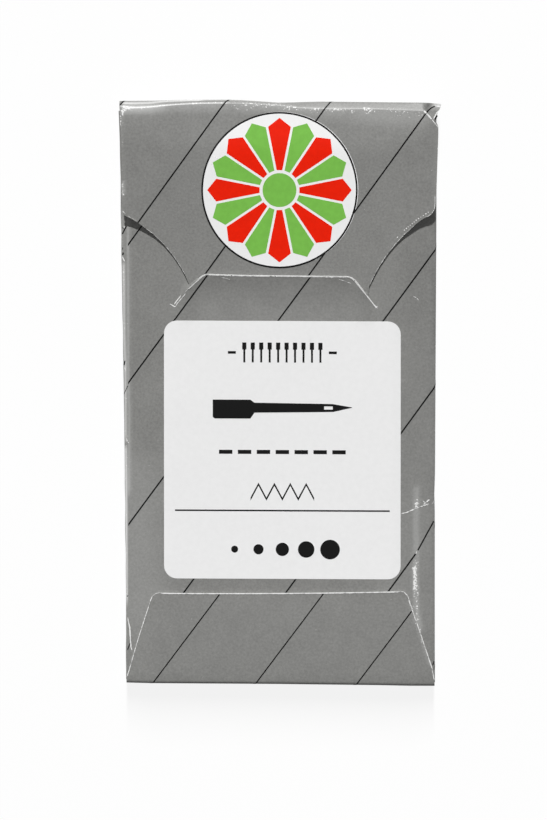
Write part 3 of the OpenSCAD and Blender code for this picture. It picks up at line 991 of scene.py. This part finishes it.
def paper_core():
    """Bare fibres at the cut edges."""
    colours = settings("packet_colour")
    finish = Finish("Paper core")
    fibres = finish.noise(3200, 3, 0.7)
    finish.put(
        finish.shader.inputs["Base Color"],
        finish.blend(finish.ramp(fibres, 0.3, 0.7), tinted(colours.core, 0.86), colours.core),
    )
    finish.shader.inputs["Roughness"].default_value = 0.8
    finish.shader.inputs["Specular IOR Level"].default_value = 0.2
    finish.bump(fibres, 0.2, 0.00003)
    return finish.material


def ink(name, base, depth=0.04):
    """Print with the paper's slight mottle."""
    finish = Finish(name)
    mottle = finish.noise(1900, 3, 0.6)
    finish.put(
        finish.shader.inputs["Base Color"],
        finish.blend(finish.ramp(mottle, 0.35, 0.65), tinted(base, 1 - depth), tinted(base, 1 + depth)),
    )
    finish.shader.inputs["Roughness"].default_value = 0.42
    finish.shader.inputs["Specular IOR Level"].default_value = 0.1
    finish.bump(mottle, 0.08, 0.00003)
    return finish.material


# Print


def round_outline(centre, radius, count=96):
    turns = [i * math.tau / count for i in range(count)]
    return [(centre[0] + radius * math.cos(turn), centre[1] + radius * math.sin(turn)) for turn in turns]


LABEL_CENTRE = (0.24, -5.66)
BADGE_CENTRE = (-0.05, 20.45)
BADGE_SLIP = (0.005, 20.47)

# Where pinstripes cross the middle of each printed face, and how far single ones are off
UPPER_STRIPES = 4.87, {-2: -0.14, -1: -0.07, 0: 0.1, 1: -0.16, 2: -0.1}
LOWER_STRIPES = 4.87, {-1: 0, 0: 0.2, 1: 0.08, 2: -0.1}
FLAP_STRIPES = 4.5, {-2: 0.08, -1: 0.17}
GLUED_STRIPES = 9.06, {2: -0.18}


class Press:
    """Prints on flat blanks."""

    def __init__(self):
        self.size = settings("packet_print")

    def striped(self, bm, stripes, turn=0.0, width=None):
        """Keeps what lies in the pinstripes."""
        phase, drift = stripes
        angle, pitch = self.size.stripe_angle + turn, self.size.stripe_pitch
        width = width or self.size.stripe_width
        across = Vector((math.sin(angle), -math.cos(angle), 0))
        lean = 1 / math.tan(angle)

        def reach(place):
            return (place.x - lean * place.y - phase) / pitch

        places = [reach(v.co) for v in bm.verts]
        for k in range(math.floor(min(places)), math.ceil(max(places)) + 1):
            middle = Vector((phase + k * pitch + drift.get(k, 0), 0, 0))
            for side in (-0.5, 0.5):
                cut(bm, middle + across * width * side, across)

        def outside(face):
            place = reach(face.calc_center_median())
            k = round(place)
            return abs((place - k) * pitch - drift.get(k, 0)) * across.x > width / 2

        bmesh.ops.delete(bm, geom=[f for f in bm.faces if outside(f)], context="FACES")
        return bm

    def on_label(self, x, y):
        """A place on the white field, whose rows run slightly askew."""
        return LABEL_CENTRE[0] + x, LABEL_CENTRE[1] + y + x * math.tan(self.size.label_skew)

    def label_outline(self):
        size = self.size
        w, h, r = size.label_width / 2, size.label_height / 2, size.label_radius
        corners = ((w - r, h - r, 0), (r - w, h - r, 1), (r - w, r - h, 2), (w - r, r - h, 3))
        outline = []
        for x, y, quarter in corners:
            for i in range(9):
                turn = (quarter + i / 8) * math.pi / 2
                outline.append(self.on_label(x + r * math.cos(turn), y + r * math.sin(turn)))
        return outline

    def plate(self, bm, width, height, x, y):
        """A rectangle on the white field, cut so that it can bend."""
        across, along = max(1, round(width / 0.5)), max(1, round(height / 0.5))

        def place(column, row):
            return self.on_label(x + width * (column / across - 0.5), y + height * (row / along - 0.5))

        grid(bm, across, along, place)

    def label_marks(self):
        """Rows that stand for the count, the needle, its stitches and its thickness."""
        bm = bmesh.new()
        self.count_mark(bm, 9.8)
        self.needle_mark(bm, 4.25)
        for i in range(-3, 4):
            self.plate(bm, 1.35, 0.4, 1.9 * i, -0.2)
        self.zigzag_mark(bm, -4.2)
        self.plate(bm, self.size.rule_length, 0.15, 0, -6.1)
        for i in range(5):
            made = bmesh.ops.create_circle(bm, cap_ends=True, radius=0.35 + 0.16 * i, segments=32)
            bmesh.ops.translate(bm, verts=made["verts"], vec=(*self.on_label((i - 2) * 2.4, -10), 0))
        return bm

    def count_mark(self, bm, row):
        """Upright strokes, each with a thick head, between two dashes."""
        pitch, count = 0.85, self.size.count
        for i in range(count):
            x = (i - (count - 1) / 2) * pitch
            self.plate(bm, 0.2, 1.3, x, row - 0.35)
            self.plate(bm, 0.42, 0.7, x, row + 0.65)
        for side in (-1, 1):
            self.plate(bm, 0.8, 0.26, side * ((count + 1) / 2 * pitch + 0.4), row)

    def zigzag_mark(self, bm, row):
        def place(column, step):
            rise = 0.75 * (1 - 2 * abs(step / 4 % 2 - 1))
            return self.on_label((step / 4 - 4) * 0.8, row + rise + 0.16 * (2 * column - 1))

        grid(bm, 1, 32, place)

    def needle_mark(self, bm, row):
        """A needle lying with its shank to the left, with an eye near its point."""
        length = self.size.needle_length
        low = ((0, -0.95), (0.015, -1.1), (0.27, -1.1), (0.3, -0.5), (0.86, -0.4), (1, 0.03))
        high = ((0, 0.8), (0.27, 0.8), (0.3, 0.5), (0.86, 0.4), (1, 0.07))
        levels = (0, 0.3, 0.7, 1)
        stops = (
            0, 0.015, 0.06, 0.12, 0.18, 0.24, 0.27, 0.3, 0.36, 0.44, 0.52, 0.6, 0.68, 0.75, 0.8, 0.862, 0.9,
            0.95, 1,
        )

        def place(column, level):
            t = stops[column]
            rise = mix(between(low, t), between(high, t), levels[level])
            return self.on_label((t - 0.5) * length, row + rise)

        before = set(bm.faces)
        grid(bm, len(stops) - 1, 3, place)
        eye = Vector((*self.on_label(0.33 * length, row), 0))
        needle = [face for face in bm.faces if face not in before]
        hole = min(needle, key=lambda face: (face.calc_center_median() - eye).length)
        bmesh.ops.delete(bm, geom=[hole], context="FACES")

    def petal_outline(self, turn):
        """One petal of the patchwork rosette."""
        inner, outer, tip = 2, self.size.badge_diameter / 2 - 1.5, self.size.badge_diameter / 2 - 0.6
        half = math.tan(math.radians(90 / self.size.petals))
        points = (
            (inner, 0.12 - inner * half),
            (outer, 0.12 - outer * half),
            (tip, 0),
            (outer, outer * half - 0.12),
            (inner, inner * half - 0.12),
        )
        cos, sin = math.cos(turn), math.sin(turn)
        return [(BADGE_CENTRE[0] + x * cos - y * sin, BADGE_CENTRE[1] + x * sin + y * cos) for x, y in points]


def strip(bm, line, half_width):
    """A band along a line; half_width(i) gives its half width at each point."""
    def place(column, row):
        ahead, behind = line[min(row + 1, len(line) - 1)], line[max(row - 1, 0)]
        side = (ahead - behind).normalized().orthogonal()
        return (line[row] + side * half_width(row) * (1 - 2 * column)).xy

    grid(bm, 1, len(line) - 1, place)


def trimmed(bm, outline):
    """A copy of a blank, cut to an outline."""
    copy = bm.copy()
    trim(copy, outline)
    return copy


def half(bm, side):
    """The part of a blank above (1) or below (-1) the middle of the white field."""
    cut(bm, (0, LABEL_CENTRE[1]), (0, side), clear_inner=True)
    return bm


def cleared(bm, zones):
    """Takes the print off rectangles of a blank."""
    for left, right, low, high in zones:
        for x in (left, right):
            cut(bm, (x, 0), (1, 0))
        for y in (low, high):
            cut(bm, (0, y), (0, 1))
        middles = [(face, face.calc_center_median()) for face in bm.faces]
        worn = [face for face, at in middles if left < at.x < right and low < at.y < high]
        bmesh.ops.delete(bm, geom=worn, context="FACES")
    return bm


# Operators


class FoldSheet(bpy.types.Operator):
    """Fold the packet from its sheet of coated paper"""

    bl_idname = "needle_packet.fold_sheet"
    bl_label = "Fold sheet"

    def execute(self, context):
        form = Form()
        sheet = joined(
            [
                folded(form, with_wear_and_painted_light(sleeve_blank(form), SLEEVE_WEAR_AND_PAINTED_LIGHT), form.sleeve),
                folded(form, with_wear_and_painted_light(tuck_blank(form), TUCK_WEAR_AND_PAINTED_LIGHT), form.tuck),
                folded(form, with_wear_and_painted_light(glued_blank(form), GLUED_WEAR_AND_PAINTED_LIGHT), form.glued),
            ]
        )
        bmesh.ops.remove_doubles(sheet, verts=sheet.verts, dist=0.000001)
        piece(sheet, "folded_sheet", "packet", (coated_paper(), paper_core()), form.size.paper, inwards=True)
        return {"FINISHED"}


class PrintStripes(bpy.types.Operator):
    """Print the pinstripes on the sleeve and both flaps"""

    bl_idname = "needle_packet.print_stripes"
    bl_label = "Print pinstripes"

    def execute(self, context):
        form, press = Form(), Press()
        size = press.size
        upper = cleared(press.striped(half(sleeve_blank(form), 1), UPPER_STRIPES), WORN_SLEEVE)
        lower = cleared(press.striped(half(sleeve_blank(form), -1), LOWER_STRIPES), WORN_SLEEVE)
        flap = cleared(press.striped(tuck_blank(form), FLAP_STRIPES, size.flap_turn), WORN_FLAP)
        glued = press.striped(glued_blank(form), GLUED_STRIPES, size.glued_turn, size.glued_stripe)
        bits = {"sleeve": bmesh.new(), "tuck": bmesh.new()}
        for name, line, width in STRIPE_BITS:
            strip(bits[name], resampled(line, 0.1), lambda i: width / 2)
        stripes = joined(
            [
                folded(form, upper, form.sleeve, LIFT.stripes),
                folded(form, lower, form.sleeve, LIFT.stripes),
                folded(form, flap, form.tuck, LIFT.stripes),
                folded(form, glued, form.glued, LIFT.stripes),
                *(folded(form, bm, getattr(form, name), LIFT.bits) for name, bm in bits.items()),
            ]
        )
        black = ink("Black ink", settings("packet_colour").black)
        piece(stripes, "pinstripes", "black_print", (black,), size.ink)
        return {"FINISHED"}


class PrintLabel(bpy.types.Operator):
    """Print the white field on the front"""

    bl_idname = "needle_packet.print_label"
    bl_label = "Print white field"

    def execute(self, context):
        form, press = Form(), Press()
        field = sleeve_blank(form)
        trim(field, press.label_outline())
        folded(form, field, form.sleeve, LIFT.field)
        white = ink("White ink", settings("packet_colour").white, 0.012)
        piece(field, "white_field", "white_print", (white,), press.size.ink)
        marks = folded(form, press.label_marks(), form.sleeve, LIFT.marks)
        piece(marks, "label_marks", "black_print", (bpy.data.materials["Black ink"],), press.size.ink)
        return {"FINISHED"}


class PrintBadge(bpy.types.Operator):
    """Print the round patchwork badge on the tuck flap"""

    bl_idname = "needle_packet.print_badge"
    bl_label = "Print badge"

    def execute(self, context):
        form, press, colours = Form(), Press(), settings("packet_colour")
        size = press.size
        radius = size.badge_diameter / 2
        disc, slip = tuck_blank(form), tuck_blank(form)
        trim(disc, round_outline(BADGE_CENTRE, radius))
        trim(slip, round_outline(BADGE_SLIP, radius))
        ground = trimmed(disc, round_outline(BADGE_CENTRE, radius - size.badge_line))
        petals = {}
        for first, name in enumerate(("red", "green")):
            turns = [(i + first / 2) * math.tau / size.petals for i in range(size.petals)]
            petals[name] = joined([trimmed(disc, press.petal_outline(turn)) for turn in turns])
        petals["green"] = joined([petals["green"], trimmed(disc, round_outline(BADGE_CENTRE, 1.7, 48))])
        white, black = bpy.data.materials["White ink"], bpy.data.materials["Black ink"]
        piece(folded(form, slip, form.tuck, LIFT.slip), "badge_slip", "white_print", (white,), size.ink)
        piece(folded(form, disc, form.tuck, LIFT.outline), "badge_outline", "black_print", (black,), size.ink)
        piece(folded(form, ground, form.tuck, LIFT.ground), "badge_ground", "white_print", (white,), size.ink)
        for name, bm in petals.items():
            finish = ink(name.capitalize() + " ink", getattr(colours, name))
            folded(form, bm, form.tuck, LIFT.petals)
            piece(bm, name + "_petals", name + "_print", (finish,), size.ink)
        return {"FINISHED"}


class WearEdges(bpy.types.Operator):
    """Bare the paper along cut edges, cracks and knocks"""

    bl_idname = "needle_packet.wear_edges"
    bl_label = "Wear edges"

    def execute(self, context):
        form = Form()
        edge = settings("packet_wear").edge
        blanks = {"sleeve": bmesh.new(), "tuck": bmesh.new(), "glued": bmesh.new()}
        scoop_right = [(form.flap_side(RIGHT_SCOOP, FLAP_RIGHT, v) - 0.03, v) for v in range(11, 18)]
        scoop_left = [(form.flap_side(LEFT_SCOOP, FLAP_LEFT, v) + 0.03, v) for v in range(12, 18)]
        cuts = (
            ("sleeve", [(x, y - edge * 0.65) for x, y in SLIT[6:10]], edge, 0.5),
            ("sleeve", [(x + edge / 2, y - edge / 2) for x, y in SLIT[2:7]], edge * 0.9, 0.15),
            ("sleeve", [(x - edge / 2, y - edge / 2) for x, y in SLIT[9:]], edge, 0.2),
            ("glued", [(x, glued_row(x, GLUED_TOP) - edge / 2) for x in range(-12, 13, 2)], edge, 0.45),
            ("glued", [(x + edge / 2, glued_row(x, v)) for v, x in GLUED_LEFT], edge * 0.6, 0.6),
            ("glued", [(x - edge / 2, glued_row(x, v)) for v, x in GLUED_RIGHT], edge * 0.8, 0.8),
            ("tuck", scoop_right, edge * 0.3, 0.7),
            ("tuck", scoop_left, edge * 0.25, 0.8),
        )
        for seed, (name, line, width, ragged) in enumerate((*cuts, *BARE_LINES)):
            self.bare(blanks[name], line, width, ragged, seed)
        for i, at in enumerate(resampled(DOT_LINE, 0.27)):
            reach = 0.045 + 0.03 * rough(i * 1.7, 0.3, 4)
            strip(blanks["tuck"], [at, at + Vector((1.6 * reach, 1.2 * reach, 0))], lambda row: reach)
        rims = joined([folded(form, bm, getattr(form, name), LIFT.bare) for name, bm in blanks.items()])
        piece(rims, "bare_edges", "packet", (bpy.data.materials["Paper core"],), 0.012)
        return {"FINISHED"}

    def bare(self, bm, line, width, ragged, seed):
        """A ragged band of bare paper along a line."""
        line = resampled(line, 0.1)

        def half_width(i):
            fray = 0.5 + rough(i * 0.45, seed * 3.1, 0.7)
            taper = min(1, (i + 0.8) / 2.5, (len(line) - i - 0.2) / 2.5)
            return width / 2 * taper * max(0.04, mix(1, fray * 1.6, ragged))

        strip(bm, line, half_width)


class BuildStage(bpy.types.Operator):
    """Set the floor, the light and the camera"""

    bl_idname = "needle_packet.build_stage"
    bl_label = "Build stage"

    def execute(self, context):
        stage, colours = settings("packet_stage"), settings("packet_colour")
        scene = context.scene
        scene.view_settings.view_transform = "Standard"

        bm = bmesh.new()
        bmesh.ops.create_grid(bm, x_segments=1, y_segments=1, size=1.5)
        mesh = bpy.data.meshes.new("floor")
        bm.to_mesh(mesh)
        bm.free()
        floor = bpy.data.objects.new("floor", mesh)
        mesh.materials.append(pale_floor(colours.floor))
        scene.collection.objects.link(floor)

        world = bpy.data.worlds.new("Studio")
        world.use_nodes = True
        ground = world.node_tree.nodes["Background"]
        ground.inputs["Color"].default_value = (1, 1, 1, 1)
        seen = seen_directly(world.node_tree)
        level = world.node_tree.nodes.new("ShaderNodeMapRange")
        level.inputs["To Min"].default_value = stage.fill
        world.node_tree.links.new(seen, level.inputs["Value"])
        world.node_tree.links.new(level.outputs["Result"], ground.inputs["Strength"])
        scene.world = world

        key = bpy.data.lights.new("Key", "SUN")
        key.energy, key.angle = stage.key, stage.key_size
        self.hang(key, stage.key_height, stage.key_turn, 1, floor, "EXCLUDE")
        strip_light = bpy.data.lights.new("Strip light", "AREA")
        strip_light.shape = "RECTANGLE"
        strip_light.energy = stage.strip_power
        strip_light.size, strip_light.size_y = stage.strip_width * MM, stage.strip_length * MM
        self.hang(strip_light, stage.strip_height, 0, stage.strip_distance * MM, floor, "INCLUDE")

        lens = bpy.data.cameras.new("Camera")
        lens.lens = lens.sensor_width * stage.distance / stage.view_height
        lens.clip_start, lens.clip_end = 0.01, 10
        camera = bpy.data.objects.new("Camera", lens)
        target = Vector((-0.65, -1.635, settings("packet_sheet").thickness)) * MM
        back = Vector((0, math.sin(stage.tilt), math.cos(stage.tilt)))
        camera.location = target + back * stage.distance * MM
        camera.rotation_euler = (-stage.tilt, 0, 0)
        scene.collection.objects.link(camera)
        scene.camera = camera
        return {"FINISHED"}

    def hang(self, lamp, height, turn, reach, floor, state):
        """Hangs a light beyond the tucked end that lights only the floor, or all but the floor."""
        light = bpy.data.objects.new(lamp.name, lamp)
        flat = math.cos(height)
        light.location = Vector((-flat * math.sin(turn), flat * math.cos(turn), math.sin(height))) * reach
        light.rotation_euler = (height - math.pi / 2, 0, turn)
        bpy.context.scene.collection.objects.link(light)
        lit = bpy.data.collections.new(lamp.name)
        lit.objects.link(floor)
        lit.collection_objects[0].light_linking.link_state = state
        light.light_linking.receiver_collection = lit


def seen_directly(tree):
    """1 for what the camera sees, also in a mirror or through glass, and 0 for light on the packet."""
    path = tree.nodes.new("ShaderNodeLightPath")
    total = path.outputs["Is Camera Ray"]
    for name in ("Is Glossy Ray", "Is Transmission Ray"):
        either = tree.nodes.new("ShaderNodeMath")
        either.operation = "MAXIMUM"
        tree.links.new(total, either.inputs[0])
        tree.links.new(path.outputs[name], either.inputs[1])
        total = either.outputs[0]
    return total


def pale_floor(base):
    """White to the camera, with only a faint shadow."""
    finish = Finish("Pale floor")
    finish.shader.inputs["Base Color"].default_value = (*base, 1)
    finish.shader.inputs["Roughness"].default_value = 0.9
    finish.shader.inputs["Specular IOR Level"].default_value = 0.0
    glow = finish.node("ShaderNodeEmission", Color=(1, 1, 1, 1), Strength=1.0)
    share = finish.math("MULTIPLY", seen_directly(finish.tree), 0.868)
    both = finish.node("ShaderNodeMixShader", i0=share, i1=finish.shader.outputs[0], i2=glow.outputs[0])
    finish.put(finish.tree.nodes["Material Output"].inputs["Surface"], both.outputs[0])
    return finish.material


OPERATORS = (FoldSheet, PrintStripes, PrintLabel, PrintBadge, WearEdges, BuildStage)


class PacketPanel(bpy.types.Panel):
    """The packet's steps and sizes"""

    bl_idname = "VIEW3D_PT_needle_packet"
    bl_label = "Needle Packet"
    bl_space_type = "VIEW_3D"
    bl_region_type = "UI"
    bl_category = "Needle Packet"

    def draw(self, context):
        for operator in OPERATORS:
            self.layout.operator(operator.bl_idname)
        for name in GROUPS:
            box = self.layout.box()
            group = getattr(context.scene, name)
            for prop in group.bl_rna.properties:
                if prop.identifier not in ("rna_type", "name"):
                    box.prop(group, prop.identifier)


def register():
    for group in GROUPS.values():
        bpy.utils.register_class(group)
    for name, group in GROUPS.items():
        setattr(bpy.types.Scene, name, bpy.props.PointerProperty(type=group))
    for operator in OPERATORS:
        bpy.utils.register_class(operator)
    bpy.utils.register_class(PacketPanel)


def unregister():
    bpy.utils.unregister_class(PacketPanel)
    for operator in reversed(OPERATORS):
        bpy.utils.unregister_class(operator)
    for name in GROUPS:
        delattr(bpy.types.Scene, name)
    for group in reversed(GROUPS.values()):
        bpy.utils.unregister_class(group)


def main():
    register()
    bpy.ops.needle_packet.fold_sheet()
    bpy.ops.needle_packet.print_stripes()
    bpy.ops.needle_packet.print_label()
    bpy.ops.needle_packet.print_badge()
    bpy.ops.needle_packet.wear_edges()
    bpy.ops.needle_packet.build_stage()


if __name__ == "__main__":
    main()
